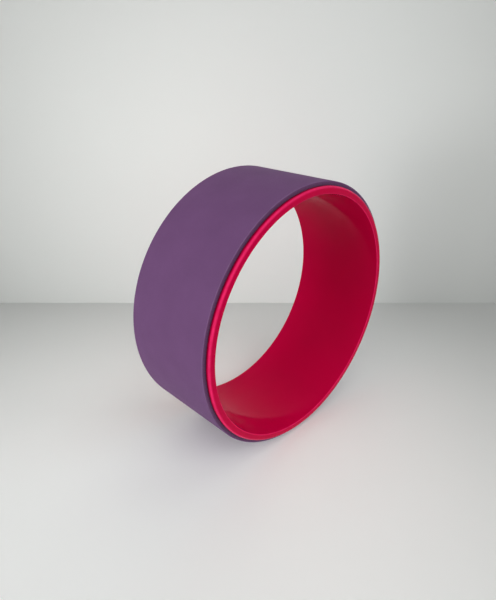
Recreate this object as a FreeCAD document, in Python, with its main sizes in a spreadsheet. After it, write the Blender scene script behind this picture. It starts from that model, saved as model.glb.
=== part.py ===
"""Yoga wheel: a rigid plastic hoop with a foam tread bonded into the channel between its two end lips.

The wheel stands upright. Its axis is Y, +Z is up and the origin is the centre of the bore.
"""

import FreeCAD, Part
import math
import os
import Sketcher

# Every size is in millimetres and every angle in degrees.
SIZES = {
    # The whole wheel, over the foam and from end face to end face.
    "wheel_diameter": 330.0,
    "wheel_width": 131.5,
    # The hoop: its wall under the foam, and the lip that stands up round each end.
    "hoop_wall": 6.45,
    "lip_height": 2.4,
    "lip_width": 5.15,
    "lip_corner_radius": 3.2,
    "lip_flank_radius": 0.5,
    "bore_edge_radius": 1.5,
    # The adhesive on the back of the foam, its clearance from the bottom of the channel, and how far it stops
    # short of the edges of the foam.
    "film_thickness": 0.2,
    "film_clearance": 0.1,
    "film_margin": 1.5,
    # The foam strip, its clearance from each lip, and how far it flattens under the wheel's own weight.
    "foam_thickness": 7.0,
    "foam_clearance": 0.15,
    "foam_edge_radius": 1.0,
    "foam_flat_depth": 0.15,
    # The butt joint of the strip: its place below +X, its width, and how deep a groove it leaves.
    "seam_angle": 35.0,
    "seam_gap": 0.3,
    "seam_groove": 0.7,
    # How far a cut runs past the solid that it cuts.
    "cut_overrun": 5.0,
}

# Radii, from the tread inwards.
TREAD_RADIUS = "sizes.wheel_diameter / 2"
FOAM_INNER_RADIUS = f"({TREAD_RADIUS} - sizes.foam_thickness)"
FILM_INNER_RADIUS = f"({FOAM_INNER_RADIUS} - sizes.film_thickness)"
CHANNEL_RADIUS = f"({FILM_INNER_RADIUS} - sizes.film_clearance)"
LIP_RADIUS = f"({CHANNEL_RADIUS} + sizes.lip_height)"
BORE_RADIUS = f"({CHANNEL_RADIUS} - sizes.hoop_wall)"

# Distances along the axis, from the middle of the wheel.
END_FACE = "sizes.wheel_width / 2"
LIP_FLANK = f"({END_FACE} - sizes.lip_width)"
FOAM_SIDE = f"({LIP_FLANK} - sizes.foam_clearance)"
FILM_SIDE = f"({FOAM_SIDE} - sizes.film_margin)"

# The angle that the butt joint leaves open, and the place on the wheel opposite to it.
SEAM_OPENING = f"(sizes.seam_gap / ({TREAD_RADIUS}) * 180 / pi)"
OPPOSITE_SEAM = "sizes.seam_angle + 180"

# A sketch's own origin, and the two ends of one of its lines, as its constraints name them.
SKETCH_ORIGIN = (-1, 1)
LINE_START = 1
LINE_END = 2


def fill_sheet(doc):
    """The sheet that holds every driving dimension, one row each."""
    sheet = doc.addObject("Spreadsheet::Sheet", "sizes")
    for row, (name, size) in enumerate(SIZES.items(), start=1):
        sheet.set(f"A{row}", name)
        sheet.set(f"B{row}", str(size))
        sheet.setAlias(f"B{row}", name)
    doc.recompute()
    return sheet


def origin_feature(body, role):
    """The plane or axis of a body's own origin that has this role."""
    return next(f for f in body.Origin.OriginFeatures if f.Role == role)


def new_body(doc, label):
    """An empty body whose label names the sub-part."""
    body = doc.addObject("PartDesign::Body", label)
    body.Label = label
    body.Placement = FreeCAD.Placement()
    return body


def squared_sketch(sheet, body, name, plane, corners):
    """A closed outline of level and upright lines. Each corner is a pair of expressions, across and up."""
    sketch = body.newObject("Sketcher::SketchObject", name)
    sketch.AttachmentSupport = (origin_feature(body, plane), [""])
    sketch.MapMode = "FlatFace"
    places = [[float(sheet.evalExpression(e)) for e in corner] for corner in corners]
    points = [FreeCAD.Vector(across, up, 0) for across, up in places]
    for line, start in enumerate(points):
        sketch.addGeometry(Part.LineSegment(start, points[(line + 1) % len(points)]))
    for line in range(len(points)):
        following = (line + 1) % len(points)
        sketch.addConstraint(Sketcher.Constraint("Coincident", line, LINE_END, following, LINE_START))
        upright = math.isclose(places[line][0], places[following][0])
        sketch.addConstraint(Sketcher.Constraint("Vertical" if upright else "Horizontal", line))
        bind_line(sketch, line, corners[line], places[line], upright)
    return sketch


def bind_line(sketch, line, corner, place, upright):
    """Ties an upright line's distance across, or a level line's height, to its expression."""
    direction = 0 if upright else 1
    kind = ("DistanceX", "DistanceY")[direction]
    ends = (*SKETCH_ORIGIN, line, LINE_START)
    size = place[direction]
    expression = corner[direction]
    if size < 0:
        ends = (line, LINE_START, *SKETCH_ORIGIN)
        size = -size
        expression = f"-({expression})"
    index = sketch.addConstraint(Sketcher.Constraint(kind, *ends, size))
    sketch.setExpression(f"Constraints[{index}]", expression)


def ring_outline(inner, outer, side):
    """The corners of a band between two radii, as far each way along the axis as its side."""
    return [(inner, f"-{side}"), (outer, f"-{side}"), (outer, side), (inner, side)]


def turn_sketch(sketch, angle):
    """Turns a sketch's plane about the wheel's axis, from +X towards the floor.

    Every ring starts from the same plane, so that the faces that touch meet along the same lines.
    """
    # A turn of one degree sets the axis; the expression then sets the angle.
    about_axis = FreeCAD.Rotation(FreeCAD.Vector(0, 1, 0), 1)
    sketch.AttachmentOffset = FreeCAD.Placement(FreeCAD.Vector(0, 0, 0), about_axis)
    sketch.setExpression("AttachmentOffset.Rotation.Angle", angle)


def revolve(doc, body, sketch, name, sweep="360"):
    """Turns an outline about the wheel's axis, half of the sweep to each side of the sketch."""
    revolution = body.newObject("PartDesign::Revolution", name)
    revolution.Profile = sketch
    revolution.ReferenceAxis = (origin_feature(body, "Y_Axis"), [""])
    revolution.Midplane = True
    revolution.setExpression("Angle", sweep)
    doc.recompute()
    return revolution


def round_rims(doc, sheet, body, base, name, radius, side, rounding):
    """Rounds the two rims that lie at one radius and one distance each way along the axis."""
    rim_radius = sheet.evalExpression(radius)
    rim_side = sheet.evalExpression(side)
    edges = []
    for number, edge in enumerate(base.Shape.Edges, start=1):
        if not isinstance(edge.Curve, Part.Circle):
            continue
        at_radius = math.isclose(edge.Curve.Radius, rim_radius, rel_tol=1e-6)
        at_side = math.isclose(abs(edge.Curve.Center.y), rim_side, rel_tol=1e-6)
        if at_radius and at_side:
            edges.append(f"Edge{number}")
    fillet = body.newObject("PartDesign::Fillet", name)
    fillet.Base = (base, edges)
    fillet.setExpression("Radius", rounding)
    doc.recompute()
    return fillet


def make_hoop(doc, sheet):
    """The moulded hoop: a plain bore, a wall, and a raised lip at each end."""
    body = new_body(doc, "hoop")
    outline = [
        (BORE_RADIUS, f"-{END_FACE}"),
        (LIP_RADIUS, f"-{END_FACE}"),
        (LIP_RADIUS, f"-{LIP_FLANK}"),
        (CHANNEL_RADIUS, f"-{LIP_FLANK}"),
        (CHANNEL_RADIUS, LIP_FLANK),
        (LIP_RADIUS, LIP_FLANK),
        (LIP_RADIUS, END_FACE),
        (BORE_RADIUS, END_FACE),
    ]
    sketch = squared_sketch(sheet, body, "hoop_outline", "XY_Plane", outline)
    turn_sketch(sketch, OPPOSITE_SEAM)
    solid = revolve(doc, body, sketch, "hoop_ring")
    rims = [
        ("lip_corners", LIP_RADIUS, END_FACE, "sizes.lip_corner_radius"),
        ("lip_flanks", LIP_RADIUS, LIP_FLANK, "sizes.lip_flank_radius"),
        ("bore_edges", BORE_RADIUS, END_FACE, "sizes.bore_edge_radius"),
    ]
    for name, radius, side, rounding in rims:
        solid = round_rims(doc, sheet, body, solid, name, radius, side, rounding)
    return body


def make_adhesive_film(doc, sheet):
    """The adhesive on the back of the foam, open at the same butt joint."""
    body = new_body(doc, "adhesive_film")
    outline = ring_outline(FILM_INNER_RADIUS, FOAM_INNER_RADIUS, FILM_SIDE)
    sketch = squared_sketch(sheet, body, "film_outline", "XY_Plane", outline)
    turn_sketch(sketch, OPPOSITE_SEAM)
    revolve(doc, body, sketch, "film_band", f"360 - {SEAM_OPENING}")
    return body


def make_foam_tread(doc, sheet):
    """The foam strip, wrapped once round, with rounded outer edges and a flat where it stands."""
    body = new_body(doc, "foam_tread")
    outline = ring_outline(FOAM_INNER_RADIUS, TREAD_RADIUS, FOAM_SIDE)
    sketch = squared_sketch(sheet, body, "foam_outline", "XY_Plane", outline)
    turn_sketch(sketch, OPPOSITE_SEAM)
    band = revolve(doc, body, sketch, "foam_band", f"360 - {SEAM_OPENING}")
    rounded = round_rims(
        doc, sheet, body, band, "foam_edges", TREAD_RADIUS, FOAM_SIDE, "sizes.foam_edge_radius"
    )
    flatten_foot(doc, sheet, body, rounded)
    return body


def flatten_foot(doc, sheet, body, base):
    """Cuts the flat on which the wheel stands, across the whole width of the foam."""
    half_chord = "sqrt(sizes.foam_flat_depth * (sizes.wheel_diameter - sizes.foam_flat_depth))"
    reach = f"({half_chord} + sizes.cut_overrun)"
    flat_height = f"-({TREAD_RADIUS} - sizes.foam_flat_depth)"
    below = f"-({TREAD_RADIUS} + sizes.cut_overrun)"
    outline = [
        (f"-{reach}", below),
        (reach, below),
        (reach, flat_height),
        (f"-{reach}", flat_height),
    ]
    sketch = squared_sketch(sheet, body, "foot_outline", "XZ_Plane", outline)
    flat = body.newObject("PartDesign::Pocket", "foot_flat")
    flat.Profile = sketch
    flat.SideType = "Symmetric"
    flat.Type = "Length"
    flat.setExpression("Length", "sizes.wheel_width")
    doc.recompute()
    if flat.Shape.Volume >= base.Shape.Volume:
        raise RuntimeError("the flat under the foam cut nothing away")


def make_seam_bond(doc, sheet):
    """The glue that fills the butt joint of the foam to just below its surface."""
    body = new_body(doc, "seam_bond")
    outer = f"({TREAD_RADIUS} - sizes.seam_groove)"
    side = f"({FOAM_SIDE} - sizes.seam_groove)"
    outline = ring_outline(FOAM_INNER_RADIUS, outer, side)
    sketch = squared_sketch(sheet, body, "bond_outline", "XY_Plane", outline)
    turn_sketch(sketch, "sizes.seam_angle")
    revolve(doc, body, sketch, "bond_line", SEAM_OPENING)
    return body


def check_document(doc, bodies):
    """Stops if any feature failed, or a sub-part isn't one valid solid."""
    for item in doc.Objects:
        if {"Invalid", "Error"} & set(item.State):
            raise RuntimeError(f"{item.Name} failed: {item.State}")
    for body in bodies:
        shape = body.Shape
        if shape.isNull() or not shape.isValid() or len(shape.Solids) != 1:
            raise RuntimeError(f"{body.Label} is not one valid solid")


def main():
    doc = FreeCAD.newDocument("yoga_wheel")
    sheet = fill_sheet(doc)
    makers = (make_hoop, make_adhesive_film, make_foam_tread, make_seam_bond)
    bodies = [make(doc, sheet) for make in makers]
    doc.recompute()
    check_document(doc, bodies)
    os.makedirs("parts", exist_ok=True)
    for body in bodies:
        body.Shape.exportStep(f"parts/{body.Label}.step")
        print(body.Label, round(body.Shape.Volume / 1000, 2), "cm3")


main()
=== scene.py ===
"""Looks of the yoga wheel: a glossy crimson hoop with a matte purple foam tread.

Lengths are in metres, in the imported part's own frame: the wheel's axis is Y and +Z is up.
"""

import itertools
import math
from typing import NamedTuple

import bpy
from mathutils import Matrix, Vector


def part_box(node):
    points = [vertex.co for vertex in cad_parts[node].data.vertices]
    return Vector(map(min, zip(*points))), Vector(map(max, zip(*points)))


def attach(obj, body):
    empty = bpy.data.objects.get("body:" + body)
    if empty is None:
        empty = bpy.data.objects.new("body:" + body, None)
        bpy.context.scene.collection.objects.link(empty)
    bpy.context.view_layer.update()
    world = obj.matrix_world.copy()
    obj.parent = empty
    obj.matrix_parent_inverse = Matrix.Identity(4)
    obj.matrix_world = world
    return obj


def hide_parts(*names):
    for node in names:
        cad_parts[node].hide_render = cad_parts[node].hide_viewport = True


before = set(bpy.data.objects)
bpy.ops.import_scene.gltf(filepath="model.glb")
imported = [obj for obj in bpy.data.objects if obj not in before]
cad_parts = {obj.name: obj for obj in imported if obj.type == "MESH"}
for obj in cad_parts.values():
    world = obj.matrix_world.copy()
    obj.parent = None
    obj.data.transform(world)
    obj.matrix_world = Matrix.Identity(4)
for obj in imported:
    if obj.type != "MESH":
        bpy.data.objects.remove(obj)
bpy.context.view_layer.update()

BODY = "root"
MM = 0.001
TURN = 2.0 * math.pi
QUARTER_TURN = 0.5 * math.pi


def radius_span(node):
    """Smallest and largest distance of a node's surface from the wheel's axis."""
    radii = [math.hypot(vertex.co.x, vertex.co.z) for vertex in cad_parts[node].data.vertices]
    return min(radii), max(radii)


# The wheel's own sizes, read from the solids where these show them.
FILM_CLEARANCE = 0.1 * MM
BORE_RADIUS, LIP_RADIUS = radius_span("hoop")
FOAM_INNER_RADIUS, TREAD_RADIUS = radius_span("foam_tread")
CHANNEL_RADIUS = radius_span("adhesive_film")[0] - FILM_CLEARANCE
END_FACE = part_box("hoop")[1].y
FOAM_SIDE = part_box("foam_tread")[1].y
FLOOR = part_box("foam_tread")[0].z
LIP_WIDTH = 5.15 * MM
LIP_CORNER = 3.2 * MM
LIP_FLANK_CORNER = 0.5 * MM
BORE_EDGE = 1.5 * MM
FOAM_EDGE = 1.0 * MM
SEAM_ANGLE = math.radians(35.0)
SEAM_GAP = 0.3 * MM

# How the foam's skin falls at its joint: a rounded lip, and a gentle sag around it.
SEAM_LIP = 0.7 * MM
SEAM_LIP_SHARE = 0.5
SEAM_SAG = 0.12 * MM
SEAM_SAG_REACH = 5.0 * MM

# How uneven the rest of the strip is.
UNEVENNESS = 0.1 * MM

# Painted shade on a lip in the crease along the foam: the distances from the foam within which it is
# darkest and past which there is none.
CREASE_SHADE_FULL = 1.2 * MM
CREASE_SHADE_END = 3.4 * MM

# The foam's cut side, dark with open cells and with painted shade that deepens towards the hoop: the depths
# under the tread at which it starts to show and at which it is full.
CUT_SHADE_START = 0.3 * MM
CUT_SHADE_FULL = 2.6 * MM

# How closely the painted highlight keeps to the middle of a corner, on the plastic and on the foam.
PLASTIC_HIGHLIGHT_POWER = 2
FOAM_HIGHLIGHT_POWER = 3

# How finely the outlines are divided: steps round the wheel and round a corner, the longest straight run,
# how close to its ends a run has a point that keeps it flat, the shortest run that gets such points, and
# the angle between faces from which their edge is sharp.
STEPS_ROUND = 360
CORNER_STEPS = 8
LONGEST_RUN = 9.0 * MM
SUPPORT = 0.25 * MM
SHORTEST_RUN = 4.0 * SUPPORT
SHARP_ANGLE = math.radians(35.0)

# Finer steps beside the foam's joint, and how many of the even steps they take the place of.
JOINT_DISTANCES = [distance * MM for distance in (0.0, 0.08, 0.2, 0.4, 0.7, 1.2, 2.0, 3.2, 5.0)]
JOINT_STEPS = 3


class Knot(NamedTuple):
    """A point of an outline, the run that it starts, and how far round its corner it is, from 0 to 1."""
    radius: float
    along: float
    run: str
    turn: float = 0.0


def run_between(start, end, run):
    """Knots inside a straight run: one close to each end, and even ones between."""
    length = (end - start).length
    if length < SHORTEST_RUN:
        return []
    pieces = math.ceil(length / LONGEST_RUN)
    shares = [SUPPORT / length] + [k / pieces for k in range(1, pieces)] + [1.0 - SUPPORT / length]
    return [Knot(*start.lerp(end, share), run) for share in shares]


def rounded_corner(here, way_in, way_out, rounding):
    """Knots round a quarter circle that takes the place of a square corner."""
    centre = here + (way_out - way_in) * rounding
    knots = []
    for step in range(CORNER_STEPS + 1):
        turn = step / CORNER_STEPS
        angle = QUARTER_TURN * turn
        place = centre + (way_in * math.sin(angle) - way_out * math.cos(angle)) * rounding
        knots.append(Knot(*place, "corner", turn))
    return knots


def rounded_outline(corners):
    """Closed outline through square corners, each as (radius, along, rounding, name of the next run)."""
    outline = []
    for index, (radius, along, rounding, run) in enumerate(corners):
        following = corners[(index + 1) % len(corners)]
        here, after = Vector((radius, along)), Vector(following[:2])
        way_in = (here - Vector(corners[index - 1][:2])).normalized()
        way_out = (after - here).normalized()
        if rounding:
            outline += rounded_corner(here, way_in, way_out, rounding)
        else:
            outline.append(Knot(radius, along, run))
        outline += run_between(here + way_out * rounding, after - way_out * following[2], run)
    return outline


def on_wheel(radius, along, angle):
    """A place in the frame, with the angle taken round the axis from +X towards the floor."""
    return Vector((radius * math.cos(angle), along, -radius * math.sin(angle)))


def lathe(name, rings, closed):
    """Mesh through rings of places of the same count, joined up into a hoop or capped at both ends."""
    size = len(rings[0])
    places = [place for ring in rings for place in ring]
    faces = []
    for ring in range(len(rings) if closed else len(rings) - 1):
        this, following = ring * size, (ring + 1) % len(rings) * size
        for k in range(size):
            m = (k + 1) % size
            faces.append((this + k, this + m, following + m, following + k))
    if not closed:
        last = (len(rings) - 1) * size
        faces.append(tuple(reversed(range(size))))
        faces.append(tuple(range(last, last + size)))
    mesh = bpy.data.meshes.new(name)
    mesh.from_pydata(places, [], faces)
    mesh.polygons.foreach_set("use_smooth", [True] * len(mesh.polygons))
    mesh.set_sharp_from_angle(angle=SHARP_ANGLE)
    piece = bpy.data.objects.new(name, mesh)
    bpy.context.scene.collection.objects.link(piece)
    return piece


# Where the strips of an unrolled lathe lie on its texture, and the two caps above them.
STRIPS = 2
STRIP_MARGIN = 0.006
STRIP_LENGTH = 0.975
STRIP_HEIGHT = 0.465
STRIP_PITCH = 0.48
CAP_PITCH = 0.48
CAP_BASE = 0.968
CAP_HEIGHT = 0.024
HIDDEN_SHARE = 0.1


def unroll(piece, outline, shares, hidden):
    """Texture coordinates: the turn is cut into two stacked strips, with hidden runs squeezed."""
    size = len(outline)
    spans = []
    for knot, after in zip(outline, outline[1:] + outline[:1]):
        length = math.hypot(after.radius - knot.radius, after.along - knot.along)
        spans.append(length * (HIDDEN_SHARE if knot.run in hidden else 1.0))
    heights = [STRIP_HEIGHT * height / sum(spans) for height in itertools.accumulate(spans, initial=0.0)]
    layer = piece.data.uv_layers.new(name="OFBake")
    for face in piece.data.polygons:
        ring, k = divmod(face.index, size)
        if ring < len(shares) - 1:
            strip = int(STRIPS * shares[ring])
            ends = shares[ring:ring + 2]
            left, right = (STRIP_MARGIN + STRIP_LENGTH * (STRIPS * share - strip) for share in ends)
            low, high = (STRIP_MARGIN + STRIP_PITCH * strip + height for height in heights[k:k + 2])
            places = [(left, low), (left, high), (right, high), (right, low)]
        else:
            places = [cap_place(outline[vertex % size], k) for vertex in face.vertices]
        for loop, place in zip(face.loop_indices, places):
            layer.data[loop].uv = place


def cap_place(knot, side):
    """Texture place of a knot on one of the foam strip's two cut ends."""
    across = (knot.along + FOAM_SIDE) / (2.0 * FOAM_SIDE)
    up = (knot.radius - FOAM_INNER_RADIUS) / (TREAD_RADIUS - FOAM_INNER_RADIUS)
    return STRIP_MARGIN + CAP_PITCH * (across + side), CAP_BASE + CAP_HEIGHT * up


def mark(piece, name, values):
    """One number for each vertex, which a material reads by name."""
    attribute = piece.data.attributes.new(name, "FLOAT", "POINT")
    attribute.data.foreach_set("value", values)


def smooth_share(value, low, high):
    """How far a value is on its way from one bound to the other, from 0 to 1, with soft ends."""
    share = min(max((value - low) / (high - low), 0.0), 1.0)
    return share * share * (3.0 - 2.0 * share)


def crease_shade_at(knot):
    """How much painted shade a place on a lip gets in the crease along the foam, from 0 to 1."""
    if knot.radius < CHANNEL_RADIUS:
        return 0.0
    return smooth_share(abs(knot.along) - FOAM_SIDE, CREASE_SHADE_END, CREASE_SHADE_FULL)


def painted_highlight_at(knot, power):
    """How much painted highlight a place on a corner gets, from 0 to 1, most in the middle of the corner.
    """
    return math.sin(math.pi * knot.turn) ** power


def make_hoop():
    """The plastic ring, with its corners marked for a painted highlight and its creases for painted shade.
    """
    flank = END_FACE - LIP_WIDTH
    outline = rounded_outline([
        (BORE_RADIUS, -END_FACE, BORE_EDGE, "end"),
        (LIP_RADIUS, -END_FACE, LIP_CORNER, "lip"),
        (LIP_RADIUS, -flank, LIP_FLANK_CORNER, "flank"),
        (CHANNEL_RADIUS, -flank, 0.0, "channel"),
        (CHANNEL_RADIUS, flank, 0.0, "flank"),
        (LIP_RADIUS, flank, LIP_FLANK_CORNER, "lip"),
        (LIP_RADIUS, END_FACE, LIP_CORNER, "end"),
        (BORE_RADIUS, END_FACE, BORE_EDGE, "bore"),
    ])
    shares = [step / STEPS_ROUND for step in range(STEPS_ROUND + 1)]
    rings = [[on_wheel(knot.radius, knot.along, TURN * share) for knot in outline] for share in shares[:-1]]
    hoop = lathe("wheel_hoop", rings, closed=True)
    unroll(hoop, outline, shares, hidden=("channel", "flank"))
    mark(hoop, "edge", [painted_highlight_at(knot, PLASTIC_HIGHLIGHT_POWER) for knot in outline] * STEPS_ROUND)
    mark(hoop, "crease", [crease_shade_at(knot) for knot in outline] * STEPS_ROUND)
    return hoop


def seam_dip(distance):
    """How far the foam's skin falls away beside its butt joint."""
    rounding = 0.0
    if distance < SEAM_LIP:
        rounding = SEAM_LIP - math.sqrt(SEAM_LIP ** 2 - (SEAM_LIP - distance) ** 2)
    return SEAM_LIP_SHARE * rounding + SEAM_SAG * math.exp(-distance / SEAM_SAG_REACH)


def hand_laid(angle, along):
    """Slight unevenness of a strip that was pressed down by hand, from 0 to 1."""
    slow = math.sin(5.0 * angle + 0.7) * math.cos(26.0 * along + 0.4)
    quick = math.sin(17.0 * angle + 2.1 + 31.0 * along) * math.sin(9.0 * angle - 58.0 * along)
    return 0.5 + 0.3 * slow + 0.2 * quick


def foam_place(knot, angle, distance):
    """A place on the foam, sunk by its joint and its unevenness, the more the nearer to the tread."""
    share = (knot.radius - FOAM_INNER_RADIUS) / (TREAD_RADIUS - FOAM_INNER_RADIUS)
    sink = seam_dip(distance) + UNEVENNESS * hand_laid(angle, knot.along)
    place = on_wheel(knot.radius - share * sink, knot.along, angle)
    place.z = max(place.z, FLOOR)
    return place


def foam_stations(length):
    """Places along the strip, close together beside the joint."""
    middle = [length * step / STEPS_ROUND for step in range(JOINT_STEPS, STEPS_ROUND - JOINT_STEPS + 1)]
    return JOINT_DISTANCES + middle + [length - distance for distance in reversed(JOINT_DISTANCES)]


def cut_and_shade_at(knot):
    """How far a place on the foam takes its cut side's dark colour, from 0 to 1: open cells, with painted
    shade growing towards the hoop.
    """
    return smooth_share(TREAD_RADIUS - knot.radius, CUT_SHADE_START, CUT_SHADE_FULL)


def make_tread():
    """The foam strip, laid once round from joint to joint, with its cut side and painted shade marked, and
    its edges marked for a painted highlight.
    """
    outline = rounded_outline([
        (FOAM_INNER_RADIUS, -FOAM_SIDE, 0.0, "side"),
        (TREAD_RADIUS, -FOAM_SIDE, FOAM_EDGE, "skin"),
        (TREAD_RADIUS, FOAM_SIDE, FOAM_EDGE, "side"),
        (FOAM_INNER_RADIUS, FOAM_SIDE, 0.0, "back"),
    ])
    length = TURN * TREAD_RADIUS - SEAM_GAP
    stations = foam_stations(length)
    first = SEAM_ANGLE + 0.5 * SEAM_GAP / TREAD_RADIUS
    rings = []
    cut = []
    for station in stations:
        distance = min(station, length - station)
        angle = first + station / TREAD_RADIUS
        rings.append([foam_place(knot, angle, distance) for knot in outline])
        cut += [cut_and_shade_at(knot) if distance else 1.0 for knot in outline]
    tread = lathe("foam_tread_skin", rings, closed=False)
    unroll(tread, outline, [station / length for station in stations], hidden=("back",))
    mark(tread, "cut", cut)
    mark(tread, "edge", [painted_highlight_at(knot, FOAM_HIGHLIGHT_POWER) for knot in outline] * len(stations))
    return tread


def feed(tree, node, inputs):
    """Sets a node's inputs, by name or number, to a value or to another node's output."""
    for key, value in inputs.items():
        if isinstance(value, bpy.types.NodeSocket):
            tree.links.new(value, node.inputs[key])
        else:
            node.inputs[key].default_value = value


def add_node(tree, kind, inputs, **settings):
    node = tree.nodes.new(kind)
    for key, value in settings.items():
        setattr(node, key, value)
    feed(tree, node, inputs)
    return node


def new_material(name):
    material = bpy.data.materials.new(name)
    material.use_nodes = True
    return material, material.node_tree, material.node_tree.nodes["Principled BSDF"]


def own_place(tree):
    return add_node(tree, "ShaderNodeTexCoord", {}).outputs["Object"]


def marked(tree, name):
    return add_node(tree, "ShaderNodeAttribute", {}, attribute_name=name).outputs["Fac"]


def noise(tree, scale, detail=3.0, stretch=(1.0, 1.0, 1.0)):
    """Noise in the wheel's own metres, squeezed along chosen axes."""
    spread = add_node(tree, "ShaderNodeMapping", {"Vector": own_place(tree), "Scale": stretch})
    inputs = {"Vector": spread.outputs["Vector"], "Scale": scale, "Detail": detail}
    return add_node(tree, "ShaderNodeTexNoise", inputs).outputs["Fac"]


def remap(tree, value, low, high, to_low, to_high):
    inputs = {"Value": value, "From Min": low, "From Max": high, "To Min": to_low, "To Max": to_high}
    return add_node(tree, "ShaderNodeMapRange", inputs, clamp=True).outputs["Result"]


def smooth_remap(tree, value, low, high):
    inputs = {"Value": value, "From Min": low, "From Max": high, "To Min": 0.0, "To Max": 1.0}
    return add_node(tree, "ShaderNodeMapRange", inputs, interpolation_type="SMOOTHSTEP").outputs["Result"]


# The middle range of a noise, which most patterns stretch over their own range.
NOISE_LOW, NOISE_HIGH = 0.3, 0.7


def mottle(tree, scale, detail=3.0, low=0.0, high=1.0):
    """Noise whose middle range is spread between two values."""
    return remap(tree, noise(tree, scale, detail), NOISE_LOW, NOISE_HIGH, low, high)


def maths(tree, operation, first, second):
    return add_node(tree, "ShaderNodeMath", {0: first, 1: second}, operation=operation).outputs["Value"]


# The sockets of a Mix node that blend colours, whose names it also gives to others.
MIX_SHARE, MIX_FIRST, MIX_SECOND, MIX_RESULT = 0, 6, 7, 2


def mix_colours(tree, share, first, second):
    inputs = {MIX_SHARE: share, MIX_FIRST: first, MIX_SECOND: second}
    return add_node(tree, "ShaderNodeMix", inputs, data_type="RGBA").outputs[MIX_RESULT]


def bump(tree, height, strength, depth):
    inputs = {"Height": height, "Strength": strength, "Distance": depth}
    return add_node(tree, "ShaderNodeBump", inputs).outputs["Normal"]


# Linear colours, as red, green, blue and opacity. A pair is the darkest and the palest of a mottled one.
CRIMSON = (0.59, 0.0004, 0.052, 1.0), (0.62, 0.0007, 0.056, 1.0)
# Painted highlight laid along the plastic's rounded corners.
CRIMSON_PAINTED_HIGHLIGHT = (0.92, 0.026, 0.155, 1.0)
# Painted shade for the crease between each lip and the foam.
CRIMSON_CREASE_SHADE = (0.140, 0.0010, 0.018, 1.0)
CRIMSON_GLINT = (1.0, 0.30, 0.45, 1.0)
PURPLE = (0.146, 0.062, 0.169, 1.0), (0.162, 0.070, 0.187, 1.0)
PURPLE_SPECKLE = (0.205, 0.102, 0.232, 1.0)
# Painted highlight laid along the foam's rounded edges.
PURPLE_PAINTED_HIGHLIGHT = (0.235, 0.140, 0.255, 1.0)
# Open cells of the cut foam, darkened beyond their own colour as painted shade on the foam's side beside
# the lips.
SHADED_OPEN_CELLS = (0.040, 0.013, 0.036, 1.0), (0.095, 0.034, 0.090, 1.0)
AMBER = (0.30, 0.21, 0.12, 1.0), (0.42, 0.33, 0.22, 1.0)

# Scuffs run round the wheel: they are drawn out across its axis and fine along it.
SCUFF_STRETCH = (9.0, 1100.0, 9.0)
FOAM_CELL_SCALE = 620.0
PLASTIC_RIPPLE = 0.2 * MM
FOAM_PORE_DEPTH = 0.3 * MM
GLUE_RIPPLE = 0.2 * MM


def plastic_material():
    """Crimson plastic, clouded and slightly rippled, with a painted highlight on its corners, painted shade
    in its creases, and scuffs.
    """
    material, tree, shader = new_material("gloss_crimson_plastic")
    body = mix_colours(tree, mottle(tree, scale=14.0), *CRIMSON)
    # A painted highlight along the rounded corners, broken up by noise.
    highlight_breakup = mottle(tree, scale=160.0, detail=4.0, low=0.6)
    highlighted = mix_colours(tree, maths(tree, "MULTIPLY", marked(tree, "edge"), highlight_breakup), body, CRIMSON_PAINTED_HIGHLIGHT)
    # Painted shade in the crease along the foam, broken up by noise.
    crease_shade_breakup = remap(tree, noise(tree, scale=220.0, detail=4.0), 0.3, 0.6, 0.7, 0.95)
    crease_shade = maths(tree, "MULTIPLY", marked(tree, "crease"), crease_shade_breakup)
    scuffs = remap(tree, noise(tree, scale=1.0, detail=2.0, stretch=SCUFF_STRETCH), 0.62, 0.78, 0.0, 0.05)
    haze = mottle(tree, scale=38.0, detail=5.0, low=0.08, high=0.13)
    ripple = noise(tree, scale=210.0, detail=1.0)
    feed(tree, shader, {
        "Base Color": mix_colours(tree, crease_shade, highlighted, CRIMSON_CREASE_SHADE),
        "Roughness": maths(tree, "ADD", haze, scuffs),
        "Normal": bump(tree, ripple, strength=0.05, depth=PLASTIC_RIPPLE),
        "IOR": 1.5,
        "Specular IOR Level": 0.045,
        "Specular Tint": CRIMSON_GLINT,
    })
    return material


def foam_material():
    """Purple foam: a clouded matte skin with fine grain, a painted highlight along its edges, and open
    cells where cut, darkened further as painted shade.
    """
    material, tree, shader = new_material("matte_purple_foam")
    voronoi = add_node(tree, "ShaderNodeTexVoronoi", {"Vector": own_place(tree), "Scale": FOAM_CELL_SCALE})
    cells = voronoi.outputs["Distance"]
    grain = noise(tree, scale=520.0, detail=2.0)
    skin = mix_colours(tree, mottle(tree, scale=30.0, detail=4.0), *PURPLE)
    speckled = mix_colours(tree, remap(tree, grain, 0.55, 0.8, 0.0, 0.25), skin, PURPLE_SPECKLE)
    # A painted highlight along the rounded edges, broken up by noise.
    highlight_breakup = mottle(tree, scale=120.0, detail=4.0, low=0.2, high=0.7)
    highlighted = mix_colours(tree, maths(tree, "MULTIPLY", marked(tree, "edge"), highlight_breakup), speckled, PURPLE_PAINTED_HIGHLIGHT)
    shaded_open_cells = mix_colours(tree, remap(tree, cells, 0.1, 0.6, 0.0, 1.0), *SHADED_OPEN_CELLS)
    # The cut side: open cells, and painted shade that grows towards the hoop.
    cut = marked(tree, "cut")
    pores = maths(tree, "ADD", remap(tree, cells, 0.0, 0.7, 0.0, 0.6), grain)
    depth = maths(tree, "MULTIPLY", pores, remap(tree, cut, 0.0, 1.0, 1.0, 2.2))
    feed(tree, shader, {
        "Base Color": mix_colours(tree, cut, highlighted, shaded_open_cells),
        "Roughness": remap(tree, grain, NOISE_LOW, NOISE_HIGH, 0.74, 0.90),
        "Normal": bump(tree, depth, strength=0.22, depth=FOAM_PORE_DEPTH),
        "Specular IOR Level": 0.3,
    })
    return material


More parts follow.
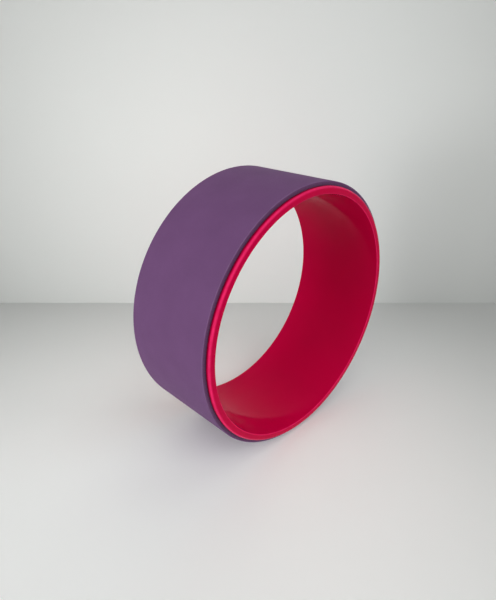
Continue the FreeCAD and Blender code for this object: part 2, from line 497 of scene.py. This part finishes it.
def adhesive_material():
    """Amber glue that flowed a little unevenly before it set."""
    material, tree, shader = new_material("amber_adhesive")
    flow = noise(tree, scale=90.0, detail=4.0)
    tone = remap(tree, flow, NOISE_LOW, NOISE_HIGH, 0.0, 1.0)
    feed(tree, shader, {
        "Base Color": mix_colours(tree, tone, *AMBER),
        "Roughness": remap(tree, flow, NOISE_LOW, NOISE_HIGH, 0.35, 0.55),
        "Normal": bump(tree, flow, strength=0.3, depth=GLUE_RIPPLE),
    })
    return material


def stand_in(piece, node, material):
    """Puts a finished piece in the place of a carried-over node."""
    piece.data.materials.append(material)
    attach(piece, BODY)
    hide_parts(node)


def dress_node(node, material):
    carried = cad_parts[node]
    carried.data.materials.clear()
    carried.data.materials.append(material)


# The camera's place, its turn from +Y towards +X, its tilt and its lens, and how close it can see.
CAMERA_PLACE = Vector((-0.41284, -0.36972, 0.28235))
CAMERA_YAW = math.radians(45.358)
CAMERA_PITCH = math.radians(-26.691)
CAMERA_LENS = 28.776
CAMERA_NEAR = 0.01
AHEAD = Vector((math.sin(CAMERA_YAW), math.cos(CAMERA_YAW), 0.0))
ASIDE = Vector((math.cos(CAMERA_YAW), -math.sin(CAMERA_YAW), 0.0))

# The stage: how far the floor and the wall reach, and how far ahead of the camera the wall stands.
STAGE_REACH = 4.0
WALL_DISTANCE = 0.8765
WALL_FOOT = Vector((CAMERA_PLACE.x, CAMERA_PLACE.y, FLOOR)) + AHEAD * WALL_DISTANCE

# The backdrop's tone, how bright it is shown, and the distances over which the stage blends into it.
BACKDROP_TONE = (1.0, 1.0, 0.985, 1.0)
BACKDROP_SHOWN = 0.55
BLEND_START = 0.66
BLEND_END = 1.3

# Painted pools of light on the floor and on the wall: the palest place of each, its tone and the tone far
# from it, where the fall from the one to the other starts and ends, and the floor's slight lift.
FLOOR_POOL = AHEAD * -0.21 + ASIDE * -0.12 + Vector((0.0, 0.0, FLOOR))
FLOOR_NEAR = (0.94, 0.952, 0.935, 1.0)
FLOOR_FAR = (0.395, 0.406, 0.395, 1.0)
FLOOR_FALL = 0.117, 0.80
FLOOR_GLOW = 0.06
WALL_POOL = AHEAD * AHEAD.dot(WALL_FOOT) + ASIDE * -0.03 + Vector((0.0, 0.0, 0.055))
WALL_NEAR = (0.868, 0.89, 0.868, 1.0)
WALL_FAR = (0.40, 0.413, 0.40, 1.0)
WALL_FALL = 0.104, 0.82


def make_plane(name, places, material):
    mesh = bpy.data.meshes.new(name)
    mesh.from_pydata(places, [], [tuple(range(len(places)))])
    mesh.materials.append(material)
    plane = bpy.data.objects.new(name, mesh)
    bpy.context.scene.collection.objects.link(plane)


def stage_material(name, near, far, pool, fall):
    """A pale matt surface with a painted pool of light: its tone falls off with the distance from a place
    on it.
    """
    material, tree, shader = new_material(name)
    away = add_node(tree, "ShaderNodeVectorMath", {0: own_place(tree), 1: pool}, operation="DISTANCE")
    share = smooth_remap(tree, away.outputs["Value"], *fall)
    cloud = mottle(tree, scale=1.7, low=0.97)
    tone = mix_colours(tree, share, near, far)
    shaded = add_node(tree, "ShaderNodeVectorMath", {0: tone, "Scale": cloud}, operation="SCALE")
    feed(tree, shader, {
        "Base Color": shaded.outputs["Vector"],
        "Roughness": 0.6,
        "Specular IOR Level": 0.2,
    })
    return material


def seen(tree):
    """1 where the camera or a reflection looks, and 0 where light is gathered."""
    path = add_node(tree, "ShaderNodeLightPath", {}).outputs
    shown = maths(tree, "MAXIMUM", path["Is Camera Ray"], path["Is Glossy Ray"])
    return maths(tree, "MAXIMUM", shown, path["Is Transmission Ray"])


def glow(material, strength):
    """A slight lift for the camera and for reflections, which lights nothing."""
    tree = material.node_tree
    shown = maths(tree, "MULTIPLY", seen(tree), strength)
    feed(tree, tree.nodes["Principled BSDF"], {"Emission Color": BACKDROP_TONE, "Emission Strength": shown})


def put_over(material, share, shader):
    """Mixes a shader over what the material shows so far."""
    tree = material.node_tree
    surface = tree.nodes["Material Output"].inputs["Surface"]
    so_far = surface.links[0].from_socket
    choice = add_node(tree, "ShaderNodeMixShader", {0: share, 1: so_far, 2: shader})
    tree.links.new(choice.outputs["Shader"], surface)


def blend_into_backdrop(material):
    """Far from the wheel the stage shows the backdrop's tone to the camera and to reflections."""
    tree = material.node_tree
    away = add_node(tree, "ShaderNodeVectorMath", {0: own_place(tree)}, operation="LENGTH").outputs["Value"]
    share = maths(tree, "MULTIPLY", seen(tree), smooth_remap(tree, away, BLEND_START, BLEND_END))
    backdrop = add_node(tree, "ShaderNodeEmission", {"Color": BACKDROP_TONE, "Strength": BACKDROP_SHOWN})
    put_over(material, share, backdrop.outputs["Emission"])


def see_through_back(material):
    """The wall shows only to those in front of it, so that the wheel can be seen from behind."""
    tree = material.node_tree
    clear = add_node(tree, "ShaderNodeBsdfTransparent", {}).outputs["BSDF"]
    behind = add_node(tree, "ShaderNodeNewGeometry", {}).outputs["Backfacing"]
    put_over(material, behind, clear)


def make_stage():
    """A pale floor and a pale wall behind the wheel."""
    floor = stage_material("pale_floor", FLOOR_NEAR, FLOOR_FAR, FLOOR_POOL, FLOOR_FALL)
    glow(floor, FLOOR_GLOW)
    blend_into_backdrop(floor)
    corners = [(-1.0, -1.0), (1.0, -1.0), (1.0, 1.0), (-1.0, 1.0)]
    make_plane("floor", [(STAGE_REACH * x, STAGE_REACH * y, FLOOR) for x, y in corners], floor)
    wall = stage_material("pale_wall", WALL_NEAR, WALL_FAR, WALL_POOL, WALL_FALL)
    blend_into_backdrop(wall)
    see_through_back(wall)
    top = Vector((0.0, 0.0, STAGE_REACH))
    left, right = WALL_FOOT - ASIDE * STAGE_REACH, WALL_FOOT + ASIDE * STAGE_REACH
    make_plane("wall", [left, right, right + top, left + top], wall)


class Lamp(NamedTuple):
    """A round lamp facing the wheel: its azimuth from +X and height in degrees, its width and its power."""
    azimuth: float
    height: float
    width: float
    watts: float


LAMPS = {
    "left": Lamp(176.0, 4.0, 0.8, 14.2),
    "left_wide": Lamp(182.0, 22.0, 1.6, 10.0),
    "back_left": Lamp(150.0, 38.0, 1.6, 2.2),
    "high": Lamp(230.0, 58.0, 1.6, 5.0),
    "top": Lamp(330.0, 66.0, 1.2, 4.2),
    "front": Lamp(260.0, 40.0, 2.4, 13.8),
    "right": Lamp(281.0, 20.0, 2.0, 11.4),
}
LAMP_DISTANCE = 2.2
WORLD_LIGHT = 0.1


def area_light(name, lamp):
    light = bpy.data.lights.new(name, "AREA")
    light.shape = "DISK"
    light.size = lamp.width
    light.energy = lamp.watts
    turn, level = math.radians(lamp.azimuth), math.radians(lamp.height)
    way = Vector((math.cos(turn) * math.cos(level), math.sin(turn) * math.cos(level), math.sin(level)))
    holder = bpy.data.objects.new(name, light)
    holder.location = way * LAMP_DISTANCE
    holder.rotation_euler = (-way).to_track_quat("-Z", "Y").to_euler()
    holder.visible_camera = False
    bpy.context.scene.collection.objects.link(holder)


def make_world():
    """Faint even light, behind a pale backdrop that only the camera and reflections see."""
    world = bpy.data.worlds.new("studio")
    bpy.context.scene.world = world
    world.use_nodes = True
    tree = world.node_tree
    light = tree.nodes["Background"]
    feed(tree, light, {"Color": (1.0, 1.0, 1.0, 1.0), "Strength": WORLD_LIGHT})
    shown = add_node(tree, "ShaderNodeBackground", {"Color": BACKDROP_TONE, "Strength": BACKDROP_SHOWN})
    inputs = {0: seen(tree), 1: light.outputs["Background"], 2: shown.outputs["Background"]}
    choice = add_node(tree, "ShaderNodeMixShader", inputs)
    tree.links.new(choice.outputs["Shader"], tree.nodes["World Output"].inputs["Surface"])


def make_camera():
    lens = bpy.data.cameras.new("camera")
    lens.lens = CAMERA_LENS
    lens.clip_start = CAMERA_NEAR
    camera = bpy.data.objects.new("camera", lens)
    camera.location = CAMERA_PLACE
    camera.rotation_euler = (QUARTER_TURN + CAMERA_PITCH, 0.0, -CAMERA_YAW)
    bpy.context.scene.collection.objects.link(camera)
    bpy.context.scene.camera = camera


stand_in(make_hoop(), "hoop", plastic_material())
tread = make_tread()
stand_in(tread, "foam_tread", foam_material())
adhesive = adhesive_material()
dress_node("adhesive_film", adhesive)
dress_node("seam_bond", adhesive)
make_stage()
for lamp_name, lamp_settings in LAMPS.items():
    area_light(lamp_name, lamp_settings)
make_world()
make_camera()
bpy.context.scene.view_settings.view_transform = "Standard"
